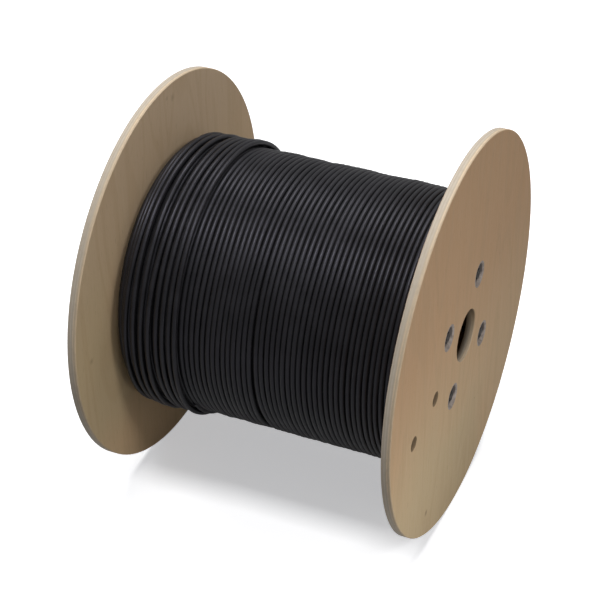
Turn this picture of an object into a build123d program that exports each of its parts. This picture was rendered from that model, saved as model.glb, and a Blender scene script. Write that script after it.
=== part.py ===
"""Plywood cable drum lying on its two flange rims, wound with black cable.

Lengths are millimetres. The drum's axis runs along X at the height of the flange radius, so the origin
lies on the floor, midway between the flanges. Angles about the axis start at +Z and grow towards +Y.
"""
import math
import os

from build123d import *

# Flanges: two plywood discs
flange_diameter = 400.0
flange_thickness = 9.0
overall_width = 321.0
rim_easing = 0.6
arbor_diameter = 52.0

# Barrel: a wound paperboard tube seated in a ring groove of each flange
barrel_diameter = 150.0
barrel_wall = 5.0
groove_depth = 2.0
groove_clearance = 0.15

# Cable: nested layers of round cable, then the start of one more layer, laid loosely. The last layers stop
# a few turns short of the left flange, so the winding slopes down to that board.
cable_diameter = 5.25
turns_per_layer = 56
full_layers = 13
turns_short_at_left = {11: 1, 12: 1, 13: 2, 14: 3}
extra_layer_turns = 8
extra_layer_pitch = 6.6
winding_clearance = 0.15
groove_between_turns = 1.3

# Tie rods that clamp the flanges on the barrel, with a thin hexagon nut in a cup washer at each end
rod_circle_diameter = 120.0
rod_count = 4
rod_start_angle = 31.0
rod_diameter = 6.0
rod_hole_diameter = 7.0
rod_end_bevel = 0.5
nut_across_flats = 10.0
nut_thickness = 3.2
nut_bore_diameter = 6.06
nut_depth_below_face = 1.2
nut_turn_step = 23.0
cup_diameter = 26.8
cup_floor_diameter = 18.0
cup_sheet = 1.2
cup_rim_width = 1.4
cup_bore_diameter = 6.6
recess_diameter = 27.0

# Cable holes in the right flange: the start of the cable goes through the inner one
cable_hole_diameter = 15.0
cable_hole_angle = -102.0
start_hole_radius = 85.0
end_hole_radius = 142.0

flange_radius = flange_diameter / 2
barrel_radius = barrel_diameter / 2
inner_width = overall_width - 2 * flange_thickness
inner_face_x = inner_width / 2
outer_face_x = overall_width / 2
recess_depth = nut_depth_below_face + nut_thickness + cup_sheet

winding_bore_radius = barrel_radius + winding_clearance
turn_pitch = inner_width / turns_per_layer
layer_rise = math.sqrt(cable_diameter ** 2 - (turn_pitch / 2) ** 2)
extra_layer = full_layers + 1


def crest_radius(layer):
    """Outer radius of a layer, counted from 1 on the barrel."""
    return winding_bore_radius + cable_diameter + (layer - 1) * layer_rise


def left_end_x(layer):
    """Where a layer starts at the left."""
    return -inner_face_x + turns_short_at_left.get(layer, 0) * turn_pitch


def cable_length():
    """Length of all the turns."""
    length = 0
    for layer in range(1, full_layers + 1):
        turns = turns_per_layer - turns_short_at_left.get(layer, 0)
        length += turns * math.tau * (crest_radius(layer) - cable_diameter / 2)
    return length + extra_layer_turns * math.tau * (crest_radius(extra_layer) - cable_diameter / 2)


def about_axis(radius, angle):
    """Y and Z of a point at a radius and angle about the drum's axis."""
    turned = math.radians(angle)
    return radius * math.sin(turned), flange_radius + radius * math.cos(turned)


def turned_about_axis(points):
    """Solid of revolution about the drum's axis from a closed outline of (x, radius) points."""
    outline = make_face(Polyline(*points, close=True))
    return Pos(0, 0, flange_radius) * revolve(outline, Axis.X)


def x_cylinder(radius, x_from, x_to, y, z):
    """Cylinder along X between two places."""
    length = x_to - x_from
    return Pos((x_from + x_to) / 2, y, z) * Rot(0, 90, 0) * Cylinder(radius, length)


def rod_places():
    """Y and Z of each tie rod."""
    step = 360 / rod_count
    return [about_axis(rod_circle_diameter / 2, rod_start_angle + step * i) for i in range(rod_count)]


def make_flange(side, cable_hole_radii):
    """Disc on the left (side -1) or right (side 1) with its arbor bore, barrel groove and holes."""
    inner = side * inner_face_x
    outer = side * outer_face_x
    eased = side * rim_easing
    arbor_radius = arbor_diameter / 2
    groove_floor = inner + side * groove_depth
    groove_inside = barrel_radius - barrel_wall - groove_clearance
    groove_outside = barrel_radius + groove_clearance
    board = turned_about_axis([
        (inner + eased, arbor_radius),
        (inner, arbor_radius + rim_easing),
        (inner, groove_inside),
        (groove_floor, groove_inside),
        (groove_floor, groove_outside),
        (inner, groove_outside),
        (inner, flange_radius - rim_easing),
        (inner + eased, flange_radius),
        (outer - eased, flange_radius),
        (outer, flange_radius - rim_easing),
        (outer, arbor_radius + rim_easing),
        (outer - eased, arbor_radius),
    ])
    low, high = sorted((inner, outer))
    for y, z in rod_places():
        board -= x_cylinder(rod_hole_diameter / 2, low, high, y, z)
        recess_floor = outer - side * recess_depth
        near, far = sorted((recess_floor, outer))
        board -= x_cylinder(recess_diameter / 2, near, far, y, z)
    for radius in cable_hole_radii:
        y, z = about_axis(radius, cable_hole_angle)
        board -= x_cylinder(cable_hole_diameter / 2, low, high, y, z)
    return board


def make_barrel():
    """Plain tube, standing on the floor of both grooves."""
    end = inner_face_x + groove_depth
    inside = barrel_radius - barrel_wall
    return turned_about_axis([
        (-end, inside),
        (-end, barrel_radius),
        (end, barrel_radius),
        (end, inside),
    ])


def layer_ends(side, layers):
    """Outline of one end of the winding, from the bore outwards: one ridge for each layer's end turn."""
    outline = []
    for layer in layers:
        tip = inner_face_x if side > 0 else left_end_x(layer)
        crest = crest_radius(layer)
        outline.append((tip - side * groove_between_turns, crest - layer_rise))
        outline.append((tip, crest - cable_diameter / 2))
    return outline


def turn_ridges(x_from, turns, crest, pitch):
    """Outline of turns that lie side by side, from left to right: one ridge for each."""
    outline = []
    for turn in range(turns):
        start = x_from + turn * pitch
        outline.append((start, crest - groove_between_turns))
        outline.append((start + pitch / 2, crest))
    return outline


def make_winding():
    """One turned solid for all of the cable, with its bore on the barrel."""
    layers = range(1, full_layers + 1)
    full = crest_radius(full_layers)
    extra = crest_radius(extra_layer)
    start_of_full = left_end_x(full_layers)
    start_of_extra = left_end_x(extra_layer)
    end_of_extra = start_of_extra + extra_layer_turns * extra_layer_pitch
    turns_before_extra = round((start_of_extra - start_of_full) / turn_pitch)
    turns_after_extra = math.floor((inner_face_x - end_of_extra) / turn_pitch)
    start_of_rest = inner_face_x - turns_after_extra * turn_pitch
    bore = [
        (-inner_face_x + groove_between_turns, winding_bore_radius),
        (inner_face_x - groove_between_turns, winding_bore_radius),
    ]
    outline = bore[:1] + layer_ends(-1, layers)[1:]
    outline += turn_ridges(start_of_full, turns_before_extra, full, turn_pitch)[1:]
    outline += [(start_of_extra, full - groove_between_turns)]
    outline += turn_ridges(start_of_extra, extra_layer_turns, extra, extra_layer_pitch)
    outline += [(end_of_extra, extra - groove_between_turns), (end_of_extra, full - groove_between_turns)]
    outline += turn_ridges(start_of_rest, turns_after_extra, full, turn_pitch)
    outline += layer_ends(1, layers)[:0:-1] + bore[1:]
    return turned_about_axis(outline)


def make_cup_washer(side, y, z):
    """Dished sheet washer that fills the recess up to the flange's outer face."""
    floor_radius = cup_floor_diameter / 2
    rim_radius = cup_diameter / 2
    bore_radius = cup_bore_diameter / 2
    outline = [
        (0, rim_radius),
        (0, rim_radius - cup_rim_width),
        (recess_depth - cup_sheet, floor_radius - cup_sheet),
        (recess_depth - cup_sheet, bore_radius),
        (recess_depth, bore_radius),
        (recess_depth, floor_radius),
        (cup_sheet, rim_radius),
    ]
    face = make_face(Polyline(*[(-side * depth, radius) for depth, radius in outline], close=True))
    return Pos(side * outer_face_x, y, z) * revolve(face, Axis.X)


def make_nut(side, y, z, turn):
    """Thin hexagon nut, its corners bevelled, on the floor of the cup washer."""
    corner_radius = nut_across_flats / math.sqrt(3)
    blank = Cylinder(corner_radius, nut_thickness)
    blank = chamfer(blank.edges().filter_by(GeomType.CIRCLE), (corner_radius - nut_across_flats / 2) * 0.9)
    prism = extrude(RegularPolygon(corner_radius, 6), nut_thickness / 2, both=True)
    nut = (prism & blank) - Cylinder(nut_bore_diameter / 2, nut_thickness)
    middle = side * (outer_face_x - nut_depth_below_face - nut_thickness / 2)
    return Pos(middle, y, z) * Rot(turn, 0, 0) * Rot(0, 90, 0) * nut


def make_tie_rod(y, z):
    """Steel rod through both flanges, flush with the outer side of its nuts."""
    length = overall_width - 2 * nut_depth_below_face
    rod = Cylinder(rod_diameter / 2, length)
    rod = chamfer(rod.edges().filter_by(GeomType.CIRCLE), rod_end_bevel)
    return Pos(0, y, z) * Rot(0, 90, 0) * rod


def make_parts():
    """Every piece of the drum under its own name."""
    parts = {
        "flange_left": make_flange(-1, []),
        "flange_right": make_flange(1, [start_hole_radius, end_hole_radius]),
        "barrel": make_barrel(),
        "wound_cable": make_winding(),
    }
    for number, (y, z) in enumerate(rod_places(), start=1):
        parts[f"tie_rod_{number}"] = make_tie_rod(y, z)
        for side, name in ((-1, "left"), (1, "right")):
            parts[f"cup_washer_{name}_{number}"] = make_cup_washer(side, y, z)
            parts[f"nut_{name}_{number}"] = make_nut(side, y, z, nut_turn_step * number * side)
    return parts


os.makedirs("parts", exist_ok=True)
for node, solid in make_parts().items():
    export_step(solid, f"parts/{node}.step")
print(f"full layer radius {crest_radius(full_layers):.1f} mm, turn pitch {turn_pitch:.2f} mm")
print(f"cable length {cable_length() / 1000:.0f} m")
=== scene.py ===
# %% [markdown]
# # A plywood cable drum
# The real thing is two plywood boards clamped on a paper tube, with a few hundred metres of thin black
# cable wound between them, lying on its rims. The boards, the steel and the roll are an exact CAD model
# already. They could be modelled here a second time, but every size would then have to agree by luck. So
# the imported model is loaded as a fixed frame, its sizes are read from it, and the script adds the
# finishes and the cable's real turns.

import math

import bpy
import numpy as np
from mathutils import Matrix, Vector


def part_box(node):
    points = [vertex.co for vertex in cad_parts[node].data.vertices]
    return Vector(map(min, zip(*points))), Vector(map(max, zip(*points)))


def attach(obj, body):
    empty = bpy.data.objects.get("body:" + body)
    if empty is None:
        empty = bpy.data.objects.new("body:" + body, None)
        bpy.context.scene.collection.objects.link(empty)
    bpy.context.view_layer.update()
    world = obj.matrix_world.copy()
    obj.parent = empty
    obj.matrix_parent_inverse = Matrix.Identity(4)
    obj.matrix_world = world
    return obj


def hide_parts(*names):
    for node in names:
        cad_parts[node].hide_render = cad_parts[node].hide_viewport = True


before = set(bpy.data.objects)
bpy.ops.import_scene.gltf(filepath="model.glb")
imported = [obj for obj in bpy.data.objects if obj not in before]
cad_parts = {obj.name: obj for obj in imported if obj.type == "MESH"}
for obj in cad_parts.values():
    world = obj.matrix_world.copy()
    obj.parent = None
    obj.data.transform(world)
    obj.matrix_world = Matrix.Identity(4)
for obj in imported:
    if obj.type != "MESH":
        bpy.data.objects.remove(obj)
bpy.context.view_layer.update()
scene = bpy.context.scene

# %% [markdown]
# ## Camera
# The photograph looks down on the drum from the front, a little from its right, through a long lens, so
# both boards look nearly the same size. A camera could be turned by three Euler angles until it fits.
# Here its axes are worked out from an azimuth and an elevation instead, and it is aimed at a point beside
# the middle of the drum, so that each number says one thing about the view.

# %% Camera
view_azimuth = math.radians(23.62)
view_elevation = math.radians(34.59)
view_distance = 1.7404
lens_mm = 105.99
sensor_mm = 36
drum_middle = Vector((0, 0, 0.2))
aim_right, aim_up = -0.0116, -0.0026

to_right = Vector((math.cos(view_azimuth), math.sin(view_azimuth), 0))
towards_front = Vector((math.sin(view_azimuth), -math.cos(view_azimuth), 0))
to_camera = towards_front * math.cos(view_elevation) + Vector((0, 0, 1)) * math.sin(view_elevation)
upwards = to_camera.cross(to_right)
camera_place = drum_middle + to_right * aim_right + upwards * aim_up + to_camera * view_distance

camera_data = bpy.data.cameras.new("camera")
camera_data.lens = lens_mm
camera_data.sensor_width = sensor_mm
camera = bpy.data.objects.new("camera", camera_data)
camera_axes = Matrix((to_right, upwards, to_camera)).transposed().to_4x4()
camera.matrix_world = Matrix.Translation(camera_place) @ camera_axes
scene.collection.objects.link(camera)
scene.camera = camera
print("camera at", [round(value, 3) for value in camera_place])

# %% [markdown]
# ## Sizes from the frame
# A drum maker works from the boards, and everything else is set out between them. These few sizes are
# read off the boxes of the CAD solids, so the new pieces follow if the drum changes.

# %% Sizes from the frame
board_low, board_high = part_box("flange_right")
inner_face = board_low.x
outer_face = board_high.x
rim_radius = (board_high.z - board_low.z) / 2
axis_height = (board_high.z + board_low.z) / 2
tube_low, tube_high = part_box("barrel")
tube_radius = (tube_high.z - tube_low.z) / 2
measured = [round(2 * size, 4) for size in (rim_radius, inner_face, tube_radius)]
print("across the boards, between them and across the tube:", measured)

# %% [markdown]
# ## How the cable lies
# A round cable is laid turn by turn, and each layer sinks into the grooves of the one below. That fixes
# how far one layer rises above the last: the triangle of three touching turns gives it. The layers could
# be guessed from the photograph one by one, but this one rule places all of them, and it agrees with the
# roll's outline.

# %% How the cable lies
cable_radius = 0.00525 / 2
turns_across = 56
full_layer = 13
gap_on_tube = 0.00015

turn_pitch = 2 * inner_face / turns_across
layer_rise = math.sqrt((2 * cable_radius) ** 2 - (turn_pitch / 2) ** 2)
first_layer_radius = tube_radius + gap_on_tube + cable_radius


def layer_radius(layer):
    """Distance of a layer's cable, at the middle of it, from the drum's axis."""
    return first_layer_radius + (layer - 1) * layer_rise


print("outer full layer at radius", round(layer_radius(full_layer) + cable_radius, 4))

# %% [markdown]
# ## Uneven winding
# No hand or machine lays cable perfectly: turns wander a little, and neighbours wander together. White
# noise would look like a crumpled wire. Smoothed noise, which is random values averaged over a sliding
# bump, stays the same over a chosen stretch of cable, and a fixed seed gives the same drum every time.

# %% Uneven winding
points_per_turn = 144


def slow_noise(count, turns, seed):
    """Smooth random values of about unit size that stay alike over this many turns of cable."""
    bump = np.hanning(int(turns * points_per_turn) + 2)[1:-1]
    raw = np.random.default_rng(seed).normal(size=count + len(bump) - 1)
    return np.convolve(raw, bump, "valid") / np.linalg.norm(bump)


def smoothed(values, turns):
    """The same values with their corners rounded over this many turns."""
    bump = np.hanning(int(turns * points_per_turn) + 2)[1:-1]
    half = len(bump) // 2
    padded = np.pad(values, (half, len(bump) - 1 - half), mode="edge")
    return np.convolve(padded, bump / bump.sum(), "valid")


print("points in a turn", points_per_turn)

# %% [markdown]
# ## The path of the outer turns
# The last full layer runs from the right board to the left one. There the cable climbs and comes back as
# the start of one more layer, laid loosely, with gaps. Rings set side by side would be simpler, but a
# real coil is one cable. So the path is counted in turns: whole numbers are on the hidden side of the
# drum, low at the back, where the cable changes layer, and the place along the drum is a curve over that
# count. The last tenth of a turn dives under its neighbours, where the end of a cable is usually tucked
# in.

# %% The path of the outer turns
hidden_degrees = 141
full_turns = 53
loose_turns = 8.26
change_starts, change_ends = 0.1, 0.15
upper_front = 0.511
lower_front = 0.386
loose_x_upper = (-0.1333, -0.1277, -0.1188, -0.1083, -0.1028, -0.0959, -0.0902, -0.0849)
loose_x_lower = (-0.1345, -0.1262, -0.1180, -0.1105, -0.1020, -0.0950, -0.0885, -0.0822)
full_layer_left = -0.1407
loose_layer_lift = 0.0004
cable_end_x = -0.0775
end_dives, end_sinks = 0.11, 0.0005
bend_turns = 0.16

hidden_side = math.radians(hidden_degrees)
last_turn = full_turns + loose_turns
turn = np.arange(0, last_turn, 1 / points_per_turn)
angle = hidden_side + math.tau * turn
along_at = [0, full_turns - change_starts]
along = [inner_face - turn_pitch / 2, full_layer_left]
for number, (lower, upper_painted_shade) in enumerate(zip(loose_x_lower, loose_x_upper)):
    along_at += [full_turns + number + lower_front, full_turns + number + upper_front]
    along += [lower, upper_painted_shade]
along_at.append(last_turn)
along.append(cable_end_x)
cable_x = smoothed(np.interp(turn, along_at, along), bend_turns)
cable_r = np.interp(
    turn,
    [0, full_turns - change_starts, full_turns + change_ends, last_turn - end_dives, last_turn],
    [layer_radius(full_layer)] * 2 + [layer_radius(full_layer + 1) + loose_layer_lift] * 2
    + [layer_radius(full_layer) - end_sinks],
)
print("turns", round(turn[-1], 2), "points", len(turn))

# %% [markdown]
# ## Seam and lean
# Two things break the even rows. Near the middle two neighbours part, more so towards the underside, and
# left of that seam the turns lean over a stretch of the upper side. A lattice around the finished coil
# could bend it, but would flatten the cable too. Here each is a small shift added to the path, largest at
# one turn and fading over its neighbours, so the turns stay side by side.

# %% Seam and lean
seam_turn = 28
seam_step, seam_bend = 0.16, 0.06
part_right, part_left = 0.7, 0.3
reach_right, reach_left = 24, 9
gap_angles = (-219, -150, -125, -106, -80, -56, -10, 141)
gap_sizes = (0, 0.0036, 0.0048, 0.0026, 0.0018, 0.0010, 0.0001, 0)
lean = 0.0015
lean_turns = 14.5
lean_wave_from, lean_waves = 25, 2.6
lean_angles = (-219, -110, -60, 10, 60, 141)
lean_shares = (0, 0, 1, 1, 0, 0)

front_angle = (np.degrees(angle) - hidden_degrees) % 360 + (hidden_degrees - 360)
gap = np.interp(front_angle, gap_angles, gap_sizes)
past_seam = np.clip((turn - seam_turn) / seam_step + 0.5, 0, 1)
share_right = part_right * np.clip(1 - (seam_turn - turn) / reach_right, 0, 1)
share_left = part_left * np.clip(1 - (turn - seam_turn) / reach_left, 0, 1)
cable_x += smoothed(gap * (share_right * (1 - past_seam) - share_left * past_seam), seam_bend)

lean_stretch = np.clip((turn - seam_turn) / lean_turns, 0, 1)
lean_window = np.interp(front_angle, lean_angles, lean_shares)
lean_wave = np.sin(np.radians(front_angle + lean_wave_from) * lean_waves)
cable_x -= lean * np.sin(math.pi * lean_stretch) ** 2 * lean_window * lean_wave
print("widest seam gap", round(gap.max() * 1000, 1), "mm")

# %% [markdown]
# ## Wander
# Every turn wanders by a tenth of a millimetre or two, the loose ones more, and all of them sway together
# round the drum. Each turn could get its own offset, but then the cable would jump where one turn becomes
# the next. Noise along the whole path has no such joints.

# %% Wander
wander_x, wander_x_turns = 0.00011, 0.35
sway, sway_along = 0.0003, 25
wander_r, wander_r_loose, wander_r_turns = 0.00012, 0.00016, 0.3
swell, swell_turns = 0.00016, 2.5

cable_x += wander_x * slow_noise(len(turn), wander_x_turns, 11)
cable_x += sway * np.sin(2 * angle + sway_along * cable_x)
loose = np.clip((turn - full_turns) * 2, 0, 1)
cable_r += (wander_r + wander_r_loose * loose) * slow_noise(len(turn), wander_r_turns, 12)
cable_r += swell * slow_noise(len(turn), swell_turns, 13)
print("loose share of the points", round(loose.mean(), 2))

# %% [markdown]
# ## Bundles
# Over the top and underneath, the loose turns ride up in bundles, where two or three of them have crept
# together, and the full layer has slight dips. Bundles could be drawn turn by turn. A height that depends
# only on the place along the drum is simpler: turns that lie together rise together.

# %% Bundles
bundle_x = (-0.137, -0.131, -0.125, -0.1185, -0.110, -0.099, -0.093, -0.087, -0.080)
bundle_lift = (-0.0003, -0.0007, -0.0007, 0.0013, 0.0006, -0.0001, 0.0006, 0.0022, 0.0018)
under_lift, under_wave = 0.0006, 0.0010
under_wave_x, under_wave_length = -0.0800, 0.0380
dip, dip_x, dip_length = 0.0005, 0.018, 0.065

over_top = np.interp(front_angle, (0, 45, 90, 141), (0, 1, 1, 0))
underneath = np.interp(front_angle, (-219, -170, -120, -90), (0, 1, 1, 0))
bundles_over_top = np.interp(cable_x, bundle_x, bundle_lift)
under_phase = (cable_x - under_wave_x) * math.tau / under_wave_length
bundles_underneath = under_lift + under_wave * np.cos(under_phase)
cable_r += loose * (over_top * bundles_over_top + underneath * bundles_underneath)
cable_r += (1 - loose) * over_top * dip * np.cos((cable_x - dip_x) * math.tau / dip_length)
print("roll radius", [round(radius + cable_radius, 4) for radius in (cable_r.min(), cable_r.max())])

# %% [markdown]
# ## The outer turns
# The visible cable is a plain round sheath. It could be a mesh made ring by ring, but a curve with a
# bevel is Blender's own way to sweep a circle along a path, and it stays smooth on its outside. A poly
# spline keeps exactly the points that were worked out. The bevel is one metre wide, and each point's own
# radius brings it down to the cable's, because the box round a curve is worked out from those radii.

# %% The outer turns
def around_axis(x, radius, turned):
    """Points at a place along the drum, a radius and an angle that starts at the top."""
    return np.column_stack([x, radius * np.sin(turned), axis_height + radius * np.cos(turned)])


def cable_piece(name, points):
    """A stretch of cable along these points."""
    curve = bpy.data.curves.new(name, "CURVE")
    curve.dimensions = "3D"
    curve.bevel_depth = 1
    curve.bevel_resolution = 3
    curve.use_fill_caps = True
    spline = curve.splines.new("POLY")
    spline.points.add(len(points) - 1)
    spline.points.foreach_set("co", np.column_stack([points, np.ones(len(points))]).ravel())
    spline.points.foreach_set("radius", [cable_radius] * len(points))
    spline.use_smooth = True
    piece = bpy.data.objects.new(name, curve)
    scene.collection.objects.link(piece)
    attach(piece, "root")
    return piece


outer_turns = cable_piece("cable_outer_turns", around_axis(cable_x, cable_r, angle))
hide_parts("wound_cable")
length = np.linalg.norm(np.diff(around_axis(cable_x, cable_r, angle), axis=0), axis=1).sum()
print("cable in the outer turns", round(length, 1), "m")

# %% [markdown]
# ## The stepped shoulder
# Towards the left board each of the last layers ends a little earlier, so the roll slopes down to the
# wood. Only the end turn of each of these layers shows. One more stretch of cable climbs through them, a
# turn in each, and dives under the outer turns again.

# %% The stepped shoulder
shoulder_turn_at = (0, 0.9, 1.1, 1.9, 2.1, 2.9, 3.1, 4)
shoulder_x = (-0.1488, -0.1488, -0.1461, -0.1461, -0.1434, -0.1434, -0.1385, -0.1380)
shoulder_layer = (10, 10, 11, 11, 12, 12, 12, 12)
shoulder_bend = 0.1
shoulder_wander, shoulder_wander_turns = 0.00015, 0.4

shoulder_turn = np.arange(0, shoulder_turn_at[-1], 1 / points_per_turn)
shoulder_path = around_axis(
    smoothed(np.interp(shoulder_turn, shoulder_turn_at, shoulder_x), shoulder_bend),
    np.interp(shoulder_turn, shoulder_turn_at, [layer_radius(layer) for layer in shoulder_layer])
    + shoulder_wander * slow_noise(len(shoulder_turn), shoulder_wander_turns, 14),
    hidden_side + math.tau * shoulder_turn,
)
shoulder = cable_piece("cable_shoulder_turns", shoulder_path)
print("shoulder turns", shoulder_turn_at[-1])

# %% [markdown]
# ## The layers underneath
# Under the outer turns lie twelve more layers. They show in the gaps of the seam, between the loose
# turns, and as the ends of the lowest layers behind the inner cable hole. Real tubes for all of them
# would be millions of triangles for a few dark slits. A turned solid with a rounded ridge for every turn
# looks the same there. This cell works out its outline, as an arc for each turn that lies at the surface.

# %% The layers underneath
under_layer = full_layer - 1
under_pitch = (inner_face - turn_pitch / 2 - full_layer_left) / full_turns
slope_start = -0.134
layers_at_left_board = 9
bore_gap = 0.0001


def ridge(x, radius, middle_angle):
    """Five points over the outside of one turn, facing this way; 90 degrees is away from the axis."""
    turned = np.radians(middle_angle + np.linspace(72, -72, 5))
    return np.column_stack([x + cable_radius * np.cos(turned), radius + cable_radius * np.sin(turned)])


def layer_end_ridges(side, layers):
    """The end turns of these layers: every other layer starts half a pitch further in."""
    ridges = []
    for layer in layers:
        inset = cable_radius if layer % 2 else cable_radius + turn_pitch / 2
        facing = 0 if side > 0 else 180
        ridges.append(ridge(side * (inner_face - inset), layer_radius(layer), facing))
    return ridges


left_end = layer_end_ridges(-1, range(1, layers_at_left_board + 1))
top_x = np.arange(slope_start, inner_face - turn_pitch, under_pitch)
top = [ridge(x, layer_radius(under_layer), 90) for x in top_x]
right_end = layer_end_ridges(1, range(under_layer, 0, -1))
bore_radius = tube_radius + bore_gap
bore = [np.array([[inner_face - turn_pitch, bore_radius], [turn_pitch - inner_face, bore_radius]])]
outline = np.vstack(left_end + top + right_end + bore)
print("ridges underneath:", len(left_end), "left,", len(top), "on top,", len(right_end), "right")

# %% [markdown]
# ## Spinning the outline
# A screw modifier could spin the outline. Here the rings are written out as a mesh, which needs no
# closing step where the last ring meets the first: that ring's faces simply go back to the first one's
# points.

# %% Spinning the outline
spin_steps = 128


def spun(name, outline):
    """A closed outline of (place along the drum, radius) points, turned once about the axis."""
    steps = np.arange(spin_steps) * math.tau / spin_steps
    rings = [around_axis(outline[:, 0], outline[:, 1], turned) for turned in steps]
    count = len(outline)
    here = np.arange(spin_steps * count).reshape(spin_steps, count)
    beyond = np.roll(here, -1, axis=0)
    corners = [here, np.roll(here, -1, axis=1), np.roll(beyond, -1, axis=1), beyond]
    quads = np.stack(corners, axis=-1).reshape(-1, 4)
    mesh = bpy.data.meshes.new(name)
    mesh.from_pydata(np.vstack(rings).tolist(), [], quads.tolist())
    mesh.polygons.foreach_set("use_smooth", [True] * len(mesh.polygons))
    piece = bpy.data.objects.new(name, mesh)
    scene.collection.objects.link(piece)
    return piece


under_layers = spun("cable_under_layers", outline)
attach(under_layers, "root")
print("layers underneath:", len(outline), "outline points,", len(under_layers.data.polygons), "faces")

# %% [markdown]
# ## A helper for materials
# Every finish below is a small tree of shader nodes. Nodes can be wired by hand in the editor, but in a
# script that takes three lines for each. This helper makes a node and fills its inputs in one call: a
# plain value is set on the socket, and the output of another node is linked to it.

# %% A helper for materials
class Finish:
    """A material under construction, with short calls for the nodes that these finishes use."""

    def __init__(self, name):
        self.material = bpy.data.materials.new(name)
        self.material.use_nodes = True
        self.tree = self.material.node_tree
        self.surface = self.tree.nodes["Principled BSDF"]

    def fill(self, socket, value):
        """Links another node's output to the socket, or sets a plain value on it."""
        if isinstance(value, bpy.types.NodeSocket):
            self.tree.links.new(value, socket)
        else:
            socket.default_value = value

    def node(self, kind, settings=None, **inputs):
        """A node of this kind with its settings and inputs; an underscore stands for a space."""
        made = self.tree.nodes.new("ShaderNode" + kind)
        for name, value in (settings or {}).items():
            setattr(made, name, value)
        for name, value in inputs.items():
            self.fill(made.inputs[name.replace("_", " ")], value)
        return made

    def math(self, operation, *values):
        """One step of arithmetic."""
        made = self.node("Math", {"operation": operation})
        for socket, value in zip(made.inputs, values):
            self.fill(socket, value)
        return made.outputs[0]

    def ramp(self, value, low, high, to_low=0.0, to_high=1.0):
        """Smoothly from one value to another while the input goes from low to high."""
        made = self.node("MapRange", {"interpolation_type": "SMOOTHSTEP"})
        for socket, filled in zip(made.inputs, (value, low, high, to_low, to_high)):
            self.fill(socket, filled)
        return made.outputs[0]

    def blend(self, amount, first, second):
        """One colour into another."""
        made = self.node("Mix", {"data_type": "RGBA"})
        self.fill(made.inputs[0], amount)
        self.fill(made.inputs[6], first)
        self.fill(made.inputs[7], second)
        return made.outputs[2]

    def stretched(self, scale):
        """The object's own coordinates, scaled along X, Y and Z."""
        place = self.node("TexCoord").outputs["Object"]
        return self.node("Mapping", Vector=place, Scale=scale).outputs[0]

    def noise(self, where, size, detail=3, roughness=0.5, distortion=0.0):
        """Cloudy noise; a larger size number makes a finer pattern."""
        made = self.node("TexNoise", Vector=where, Scale=size, Detail=detail, Roughness=roughness)
        made.inputs["Distortion"].default_value = distortion
        return made.outputs["Fac"]

    def bump(self, height, depth, strength):
        """Relief that only the light sees, this many metres deep."""
        made = self.node("Bump", Height=height, Distance=depth, Strength=strength)
        self.tree.links.new(made.outputs[0], self.surface.inputs["Normal"])

    def set(self, **inputs):
        """Fills the inputs of the surface itself."""
        for name, value in inputs.items():
            self.fill(self.surface.inputs[name.replace("_", " ")], value)


def dress(names, finish):
    """Gives these CAD nodes the finish."""
    for name in names:
        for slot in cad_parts[name].material_slots:
            slot.material = finish.material
    print(finish.material.name, "on", ", ".join(names))


# %% [markdown]
# ## Birch plywood: the faces
# The boards are birch plywood, sanded and left bare. A face is one sheet of peeled veneer: a pale tan
# with faint flames along the grain, fine fibres, open pores and soft blotches. High up, the right board
# is redder and darker, the darkening being painted shade, and the left one is a little greyer. An image
# of wood would repeat and stretch over the rim. Noise that is stretched along the grain gives flames,
# fibres and pores from the same few nodes, at any size.

# %% Birch plywood: the faces
veneer_warm = (0.60, 0.420, 0.245, 1)
veneer_cool = (0.55, 0.420, 0.250, 1)
veneer_ruddy_shaded = (0.550, 0.345, 0.190, 1)
veneer_grey = (0.575, 0.430, 0.285, 1)
veneer_flame = (0.46, 0.315, 0.175, 1)
mark_brown = (0.20, 0.13, 0.075, 1)
flame_size, flame_count = 13, 70.0
fibre_size, pore_size, blotch_size = 900, 1500, 9
ruddy_shade_low, ruddy_shade_high = 0.08, 0.28
grey_low, grey_high = 0.18, 0.38
flame_strength, fibre_strength, pore_strength = 0.22, 0.10, 0.35

plywood = Finish("birch_plywood")
place = plywood.node("TexCoord").outputs["Object"]
facing = plywood.node("SeparateXYZ", Vector=plywood.node("TexCoord").outputs["Normal"]).outputs
is_face = plywood.ramp(plywood.math("ABSOLUTE", facing["X"]), 0.6, 0.9)

flames = plywood.noise(plywood.stretched((1, 1, 0.16)), flame_size, detail=2, distortion=0.4)
flame_lines = plywood.math("SINE", plywood.math("MULTIPLY", flames, flame_count))
fibres = plywood.noise(plywood.stretched((1, 1, 0.03)), fibre_size, detail=2, roughness=0.6)
pores = plywood.noise(plywood.stretched((1, 1, 0.06)), pore_size, detail=1)
blotches = plywood.noise(plywood.stretched((1, 1, 0.6)), blotch_size, detail=3)
veneer = plywood.blend(plywood.ramp(blotches, 0.35, 0.65), veneer_warm, veneer_cool)
spot = plywood.node("SeparateXYZ", Vector=place).outputs
on_right = plywood.ramp(spot["X"], 0.0, inner_face)
# Redder and darker high up on the right board; the darkening is painted shade.
ruddy_and_shade = plywood.math("MULTIPLY", plywood.ramp(spot["Z"], ruddy_shade_low, ruddy_shade_high), on_right)
veneer = plywood.blend(ruddy_and_shade, veneer, veneer_ruddy_shaded)
on_left = plywood.math("SUBTRACT", 1.0, on_right)
greyed = plywood.math("MULTIPLY", plywood.ramp(spot["Z"], grey_low, grey_high), on_left)
veneer = plywood.blend(greyed, veneer, veneer_grey)
veneer = plywood.blend(plywood.ramp(flame_lines, 0.2, 1.0, 0.0, flame_strength), veneer, veneer_flame)
veneer = plywood.blend(plywood.ramp(fibres, 0.45, 0.75, 0.0, fibre_strength), veneer, veneer_flame)
veneer = plywood.blend(plywood.ramp(pores, 0.66, 0.78, 0.0, pore_strength), veneer, mark_brown)
print("veneer of the faces, grain upright")

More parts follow.
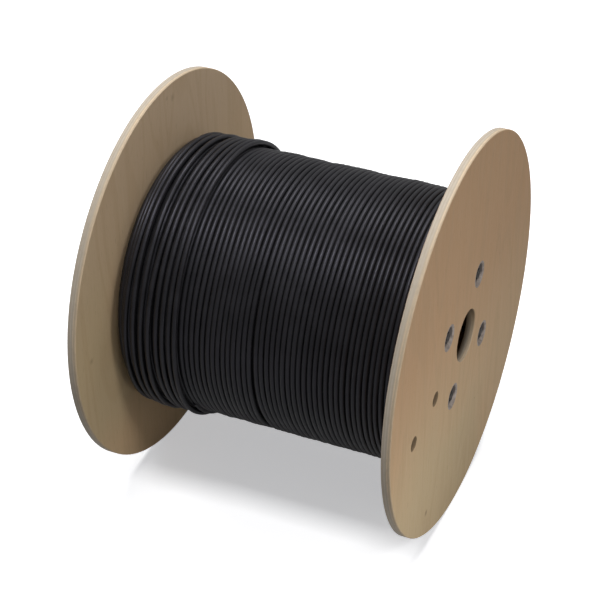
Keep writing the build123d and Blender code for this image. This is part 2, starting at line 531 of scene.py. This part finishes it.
# %% [markdown]
# ## Birch plywood: the rims
# A rim shows the plies edge on, some along the grain and pale, some across it and darker, and which is
# which changes a quarter turn further round. On each rim the side towards the right is creamier. The
# plies could be thin rings of their own, but they are one surface on a real board. So the depth below the
# face counts them, and the direction of the surface says how each is cut.

# %% Birch plywood: the rims
ply_along = (0.50, 0.440, 0.365, 1)
ply_cream = (0.62, 0.485, 0.33, 1)
ply_across = (0.39, 0.325, 0.25, 1)
glue_line = (0.36, 0.26, 0.16, 1)
plies = 7
ply_thickness = (outer_face - inner_face) / plies

depth = plywood.math("SUBTRACT", plywood.math("ABSOLUTE", spot["X"]), inner_face)
ply_count = plywood.math("DIVIDE", depth, ply_thickness)
odd_ply = plywood.math("MODULO", plywood.math("FLOOR", ply_count), 2.0)
within_ply = plywood.math("FRACT", ply_count)
across_even = plywood.math("ABSOLUTE", facing["Z"])
across_odd = plywood.math("ABSOLUTE", facing["Y"])
across = plywood.math("ADD", plywood.math("MULTIPLY", across_even, plywood.math("SUBTRACT", 1.0, odd_ply)),
                      plywood.math("MULTIPLY", across_odd, odd_ply))
rough_edge = plywood.noise(plywood.stretched((3, 1, 1)), 130, detail=4, roughness=0.7)
share_outwards = plywood.math("DIVIDE", ply_count, plies)
towards_right = plywood.math("ABSOLUTE", plywood.math("SUBTRACT", on_left, share_outwards))
uneven = plywood.math("MULTIPLY", plywood.noise(place, 14, detail=2), 0.5)
creamy = plywood.ramp(plywood.math("ADD", towards_right, uneven), 0.75, 1.05)
pale = plywood.blend(creamy, ply_along, ply_cream)
edge = plywood.blend(plywood.ramp(across, 0.25, 0.95, 0.0, 0.55), pale, ply_across)
edge = plywood.blend(plywood.ramp(rough_edge, 0.42, 0.70, 0.0, 0.45), edge, ply_across)
from_glue = plywood.math("ABSOLUTE", plywood.math("SUBTRACT", within_ply, 0.5))
edge = plywood.blend(plywood.ramp(from_glue, 0.42, 0.5, 0.0, 0.15), edge, glue_line)
print("plies", plies, "of", round(ply_thickness * 1000, 2), "mm")

# %% [markdown]
# ## Birch plywood: the walls of the holes
# A drill burnishes the wood, so the walls of the holes are darker than the rim, and the upper side of
# the arbor bore and its depth are darkened further with painted shade. They could have a material slot of
# their own, but the CAD model stays as it is. The distance from the drum's axis tells the rim from every
# hole, and the arbor bore stays pale at the lower outer side, where the light falls in.

# %% Birch plywood: the walls of the holes
bore_burnish_and_shade = (0.33, 0.235, 0.14, 1)
arbor_shade = (0.10, 0.07, 0.042, 1)
arbor_wall, arbor_wall_past = 0.03, 0.04
hole_walls, hole_walls_past = 0.16, 0.18

height = plywood.math("SUBTRACT", spot["Z"], axis_height)
from_axis = plywood.math("SQRT", plywood.math("ADD", plywood.math("MULTIPLY", spot["Y"], spot["Y"]),
                                              plywood.math("MULTIPLY", height, height)))
in_hole = plywood.ramp(from_axis, hole_walls, hole_walls_past, 1.0, 0.0)
# The arbor bore's upper side is browned as painted shade; the other hole walls are browned all round, as
# burnished wood.
burnish_and_shade = plywood.math("MAXIMUM", plywood.ramp(from_axis, arbor_wall, arbor_wall_past, 0.0, 0.85),
                     plywood.ramp(height, -0.02, 0.012, 0.0, 0.75))
edge = plywood.blend(plywood.math("MULTIPLY", in_hole, burnish_and_shade), edge, bore_burnish_and_shade)
in_arbor = plywood.ramp(from_axis, arbor_wall, arbor_wall_past, 1.0, 0.0)
# Painted shade in the arbor bore: darker on its upper side and deeper in.
upper_painted_shade = plywood.ramp(height, -0.004, 0.022, 0.0, 0.85)
deep_painted_shade = plywood.ramp(depth, 0.0075, 0.0005, 0.0, 0.95)
shade = plywood.math("MULTIPLY", in_arbor, plywood.math("MAXIMUM", upper_painted_shade, deep_painted_shade))
edge = plywood.blend(shade, edge, arbor_shade)
print("hole walls browned inside radius", hole_walls)

# %% [markdown]
# ## Birch plywood: marks and relief
# A few knocks and pin holes show on both boards. Painting them on an image would need an unwrapped board.
# Each is a place and a size instead, and the wood darkens near it, with a ragged edge from the fibres.
# The relief is only a fine bump: fibres on the faces, and the torn grain of the rims.

# %% Birch plywood: marks and relief
marks = (
    (Vector((-inner_face, -0.1725, 0.1935)), 0.0038, 0.35),
    (Vector((-inner_face, 0.0121, 0.3834)), 0.0045, 0.30),
    (Vector((-inner_face, 0.0004, 0.3879)), 0.0030, 0.25),
    (Vector((outer_face, -0.0933, 0.0510)), 0.0040, 0.70),
    (Vector((outer_face, 0.0429, 0.0944)), 0.0012, 0.60),
)

bare = plywood.blend(is_face, edge, veneer)
for middle, size, strength in marks:
    away = plywood.node("VectorMath", {"operation": "DISTANCE"}, Vector=place)
    away.inputs[1].default_value = middle
    ragged = plywood.math("ADD", away.outputs["Value"], plywood.math("MULTIPLY", fibres, size * 0.8))
    bare = plywood.blend(plywood.ramp(ragged, size * 0.5, size * 1.6, strength, 0.0), bare, mark_brown)
plywood.set(Base_Color=bare, Roughness=plywood.ramp(fibres, 0.3, 0.7, 0.52, 0.68))
plywood.set(Specular_IOR_Level=0.2)
relief = plywood.math("ADD", plywood.math("MULTIPLY", plywood.math("MULTIPLY", fibres, is_face), 0.25),
                      plywood.math("MULTIPLY", plywood.math("SUBTRACT", 1.0, is_face), rough_edge))
plywood.bump(relief, 0.00025, 0.6)
dress(["flange_left", "flange_right"], plywood)

# %% [markdown]
# ## Paperboard tube
# The tube is wound from strips of brown kraft board, and only its inside can be seen, through the arbor
# holes. Its one feature is the seam of the strip, which runs round it as a long screw line. A flat brown
# would do in the dark, but a seam costs three nodes: the angle about the axis plus the place along it,
# repeated.

# %% Paperboard tube
kraft = (0.42, 0.30, 0.18, 1)
kraft_dark = (0.30, 0.21, 0.125, 1)
strip_width = 0.08

paperboard = Finish("kraft_paperboard")
spot = paperboard.node("SeparateXYZ", Vector=paperboard.node("TexCoord").outputs["Object"]).outputs
height = paperboard.math("SUBTRACT", spot["Z"], axis_height)
round_axis = paperboard.math("DIVIDE", paperboard.math("ARCTAN2", spot["Y"], height), math.tau)
strips = paperboard.math("ADD", paperboard.math("DIVIDE", spot["X"], strip_width), round_axis)
from_seam = paperboard.math("ABSOLUTE", paperboard.math("SUBTRACT", paperboard.math("FRACT", strips), 0.5))
pulp = paperboard.noise(paperboard.stretched((1, 1, 1)), 500, detail=4)
board_brown = paperboard.blend(paperboard.ramp(pulp, 0.35, 0.7, 0.0, 0.6), kraft, kraft_dark)
board_brown = paperboard.blend(paperboard.ramp(from_seam, 0.485, 0.5, 0.0, 0.7), board_brown, kraft_dark)
paperboard.set(Base_Color=board_brown)
paperboard.set(Roughness=0.85)
paperboard.bump(pulp, 0.0001, 0.5)
dress(["barrel"], paperboard)

# %% [markdown]
# ## Zinc-plated steel: the dished washers
# The washers are plain steel with a thin coat of zinc, dull and slightly cloudy. They stay light but for
# painted shade on their floors and under their upper edges. One roughness all over would look like chrome
# paint, so a fine noise breaks it up, a coarse one clouds it, and depth and slope say where the painted
# shade sits.

# %% Zinc-plated steel: the dished washers
zinc_light = (0.42, 0.36, 0.32, 1)
zinc_dark = (0.25, 0.21, 0.185, 1)
dish_shade_colour = (0.04, 0.032, 0.03, 1)
edge_unshaded, edge_shaded = 0.0004, 0.0018
floor_unshaded, floor_shaded = 0.0022, 0.0040
dish_shade_strength = 0.9

zinc = Finish("dull_zinc")
clouds = zinc.noise(zinc.stretched((1, 1, 1)), 220, detail=4, roughness=0.6)
grains = zinc.noise(zinc.stretched((1, 1, 1)), 2600, detail=2)
plate = zinc.blend(zinc.ramp(clouds, 0.35, 0.7), zinc_light, zinc_dark)
slope = zinc.node("SeparateXYZ", Vector=zinc.node("TexCoord").outputs["Normal"]).outputs
overhang = zinc.math("ADD", zinc.math("MULTIPLY", slope["Y"], 0.7), zinc.math("MULTIPLY", slope["Z"], 0.7))
dish_x = zinc.node("SeparateXYZ", Vector=zinc.node("TexCoord").outputs["Object"]).outputs["X"]
dish_depth = zinc.math("SUBTRACT", outer_face, zinc.math("ABSOLUTE", dish_x))
# Painted shade under the dish's upper edges and on its floor.
shade_under_edge = zinc.math("MULTIPLY", zinc.ramp(overhang, 0.0, -0.4, 0.0, dish_shade_strength),
                       zinc.ramp(dish_depth, edge_unshaded, edge_shaded))
shade_on_floor = zinc.ramp(dish_depth, floor_unshaded, floor_shaded, 0.0, dish_shade_strength)
painted_dish_shade = zinc.math("MAXIMUM", shade_under_edge, shade_on_floor)
zinc.set(Base_Color=zinc.blend(painted_dish_shade, plate, dish_shade_colour))
zinc.set(Roughness=zinc.ramp(grains, 0.3, 0.7, 0.48, 0.64))
zinc.set(Metallic=0.5)
zinc.bump(grains, 0.00003, 0.5)
dress([name for name in sorted(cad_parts) if name.startswith("cup_washer")], zinc)

# %% [markdown]
# ## Zinc-plated steel: rods and nuts
# The rod ends and nuts are plated in the same way, but they are painted nearly black, as the shade of the
# recesses they sit in. They could share the washers' finish, with a rule that darkens them, but a finish
# without exceptions is easier to change. So they get a short tree of their own, with two dark tones in
# clouds.

# %% Zinc-plated steel: rods and nuts
shade_zinc_light = (0.055, 0.047, 0.042, 1)
shade_zinc_dark = (0.022, 0.019, 0.017, 1)

zinc_in_shade = Finish("zinc_painted_shade")
clouds = zinc_in_shade.noise(zinc_in_shade.stretched((1, 1, 1)), 300, detail=4, roughness=0.6)
# Painted shade: nearly black tones for the rods and nuts in their recesses.
zinc_in_shade.set(Base_Color=zinc_in_shade.blend(zinc_in_shade.ramp(clouds, 0.35, 0.7), shade_zinc_light, shade_zinc_dark))
zinc_in_shade.set(Roughness=zinc_in_shade.ramp(clouds, 0.3, 0.7, 0.45, 0.62))
zinc_in_shade.set(Metallic=1.0)
zinc_in_shade.bump(clouds, 0.00005, 0.5)
dress([name for name in sorted(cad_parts) if name.startswith(("tie_rod", "nut"))], zinc_in_shade)

# %% [markdown]
# ## Black cable sheath
# The sheath is soft black plastic with a satin skin. It is nearly black, and what makes it readable is
# the soft light line along each turn. A darker or glossier black would lose that line or make it sparkle.
# So the colour hardly varies, the roughness changes along the cable, and a very fine bump takes the
# polish off. The light line is faintly violet, which the tint of the gloss gives without colouring the
# black.

# %% Black cable sheath
sheath_black = (0.0118, 0.0116, 0.0128, 1)
sheath_worn = (0.0170, 0.0167, 0.0185, 1)

sheath = Finish("black_cable_sheath")
handled = sheath.noise(sheath.stretched((1, 1, 1)), 45, detail=4, roughness=0.6)
skin = sheath.noise(sheath.stretched((1, 1, 1)), 3500, detail=2)
sheath.set(Base_Color=sheath.blend(sheath.ramp(handled, 0.35, 0.75), sheath_black, sheath_worn))
sheath.set(Roughness=sheath.ramp(handled, 0.3, 0.7, 0.34, 0.44))
sheath.set(Specular_IOR_Level=0.275)
sheath.set(Specular_Tint=(0.85, 0.83, 1, 1))
sheath.bump(skin, 0.00003, 0.4)
for piece in (outer_turns, shoulder, under_layers):
    piece.data.materials.append(sheath.material)
print("sheath on", outer_turns.name, shoulder.name, under_layers.name)

# %% [markdown]
# ## Floor
# The photograph's ground is white, with one soft grey shadow between the boards. A floor lit until it is
# white would bleach the wood as well. So it is a grey to the light that bounces off it, and only what the
# camera sees of it is lifted to white, with a fifth of that lift in reflections. The lift is a touch
# blue, as the photograph's shadow is. It grows with the distance from the drum, where the lamps no longer
# reach, so the ground runs into the white room without a horizon.

# %% Floor
floor_reach = 8.0
floor_corners = 64
floor_bounce = (0.36, 0.36, 0.36, 1)
floor_seen = (0.98, 0.98, 0.985, 1)
floor_lift = 0.447
lift_colour = (0.965, 0.973, 1, 1)
lift_starts, lift_full = 0.7, 2.5
seen_in_gloss = 0.2

ring = [(floor_reach * math.cos(turned), floor_reach * math.sin(turned), 0)
        for turned in np.arange(floor_corners) * math.tau / floor_corners]
floor_mesh = bpy.data.meshes.new("floor")
floor_mesh.from_pydata(ring, [], [list(range(len(ring)))])
floor = bpy.data.objects.new("floor", floor_mesh)
scene.collection.objects.link(floor)

paper = Finish("pale_floor")
rays = paper.node("LightPath").outputs
in_gloss = paper.math("MULTIPLY", rays["Is Glossy Ray"], seen_in_gloss)
seen = paper.math("MAXIMUM", rays["Is Camera Ray"], in_gloss)
paper.set(Base_Color=paper.blend(seen, floor_bounce, floor_seen))
place = paper.node("TexCoord").outputs["Object"]
from_drum = paper.node("VectorMath", {"operation": "LENGTH"}, Vector=place)
lift = paper.ramp(from_drum.outputs["Value"], lift_starts, lift_full, floor_lift, 1.0)
lift_mirrored = paper.math("MULTIPLY", rays["Is Glossy Ray"], seen_in_gloss * floor_lift)
lift_seen = paper.math("MULTIPLY", rays["Is Camera Ray"], lift)
paper.set(Roughness=0.9)
paper.set(Specular_IOR_Level=0.0)
paper.set(Emission_Color=lift_colour)
paper.set(Emission_Strength=paper.math("MAXIMUM", lift_seen, lift_mirrored))
floor_mesh.materials.append(paper.material)
print("floor", floor_reach, "m around the drum")

# %% [markdown]
# ## The room
# The photograph was taken in a pale room. A picture of a room could light the drum, but for matt wood one
# plain strength does as well. It differs by the kind of ray: dim as light, so that it doesn't flatten the
# shadows, brighter in reflections, so that steel and sheath have something pale to mirror, and white
# where the camera sees it.

# %% The room
room_level = 0.14
room_mirrored = 0.35

world = bpy.data.worlds.new("pale_room")
world.use_nodes = True
scene.world = world
sky = world.node_tree.nodes["Background"]
rays = world.node_tree.nodes.new("ShaderNodeLightPath")
mirrored = world.node_tree.nodes.new("ShaderNodeMix")
shown = world.node_tree.nodes.new("ShaderNodeMix")
link = world.node_tree.links.new
link(rays.outputs["Is Glossy Ray"], mirrored.inputs["Factor"])
mirrored.inputs["A"].default_value = room_level
mirrored.inputs["B"].default_value = room_mirrored
link(rays.outputs["Is Camera Ray"], shown.inputs["Factor"])
link(mirrored.outputs["Result"], shown.inputs["A"])
shown.inputs["B"].default_value = 1.0
link(shown.outputs["Result"], sky.inputs["Strength"])
sky.inputs["Color"].default_value = (1, 1, 1, 1)
print("room", room_level, "as light,", room_mirrored, "in reflections")

# %% [markdown]
# ## The lamps
# Shadows and light lines tell where the light of a photograph stood. The shadow between the boards ends
# some nine centimetres in front of the axis, so the main light is overhead, a little in front. The light
# line on the roll lies close to its top, which takes a second one further back. One large lamp could
# replace both, but then the shadow's edge would be lost. Both are long in the drum's direction, because a
# small lamp makes thin streaks of shadow under the boards. A lamp on the right lights the boards' faces
# and throws the roll's shadow on the left board, a low one brightens the foot of the right board, and a
# weak one on the left keeps the hidden side readable.

# %% The lamps
lamps = (  # name, place, watts, length, width
    ("overhead_softbox", Vector((0.0, -0.56, 2.0)), 21, 1.0, 0.40),
    ("back_softbox", Vector((-0.12, 0.80, 1.90)), 19, 1.5, 0.7),
    ("side_softbox", Vector((1.55, -0.53, 1.66)), 9, 0.45, 0.45),
    ("left_softbox", Vector((-2.0, 0.5, 0.9)), 4, 1.6, 1.6),
    ("low_fill", Vector((0.44, -0.22, 0.05)), 0.40, 0.2, 0.2),
)
for name, stand, watts, length, width in lamps:
    lamp = bpy.data.lights.new(name, "AREA")
    lamp.shape = "RECTANGLE"
    lamp.size = length
    lamp.size_y = width
    lamp.energy = watts
    holder = bpy.data.objects.new(name, lamp)
    holder.location = stand
    holder.rotation_euler = (drum_middle - stand).to_track_quat("-Z", "Y").to_euler()
    scene.collection.objects.link(holder)
    print(name, watts, "W")
scene.view_settings.view_transform = "Standard"
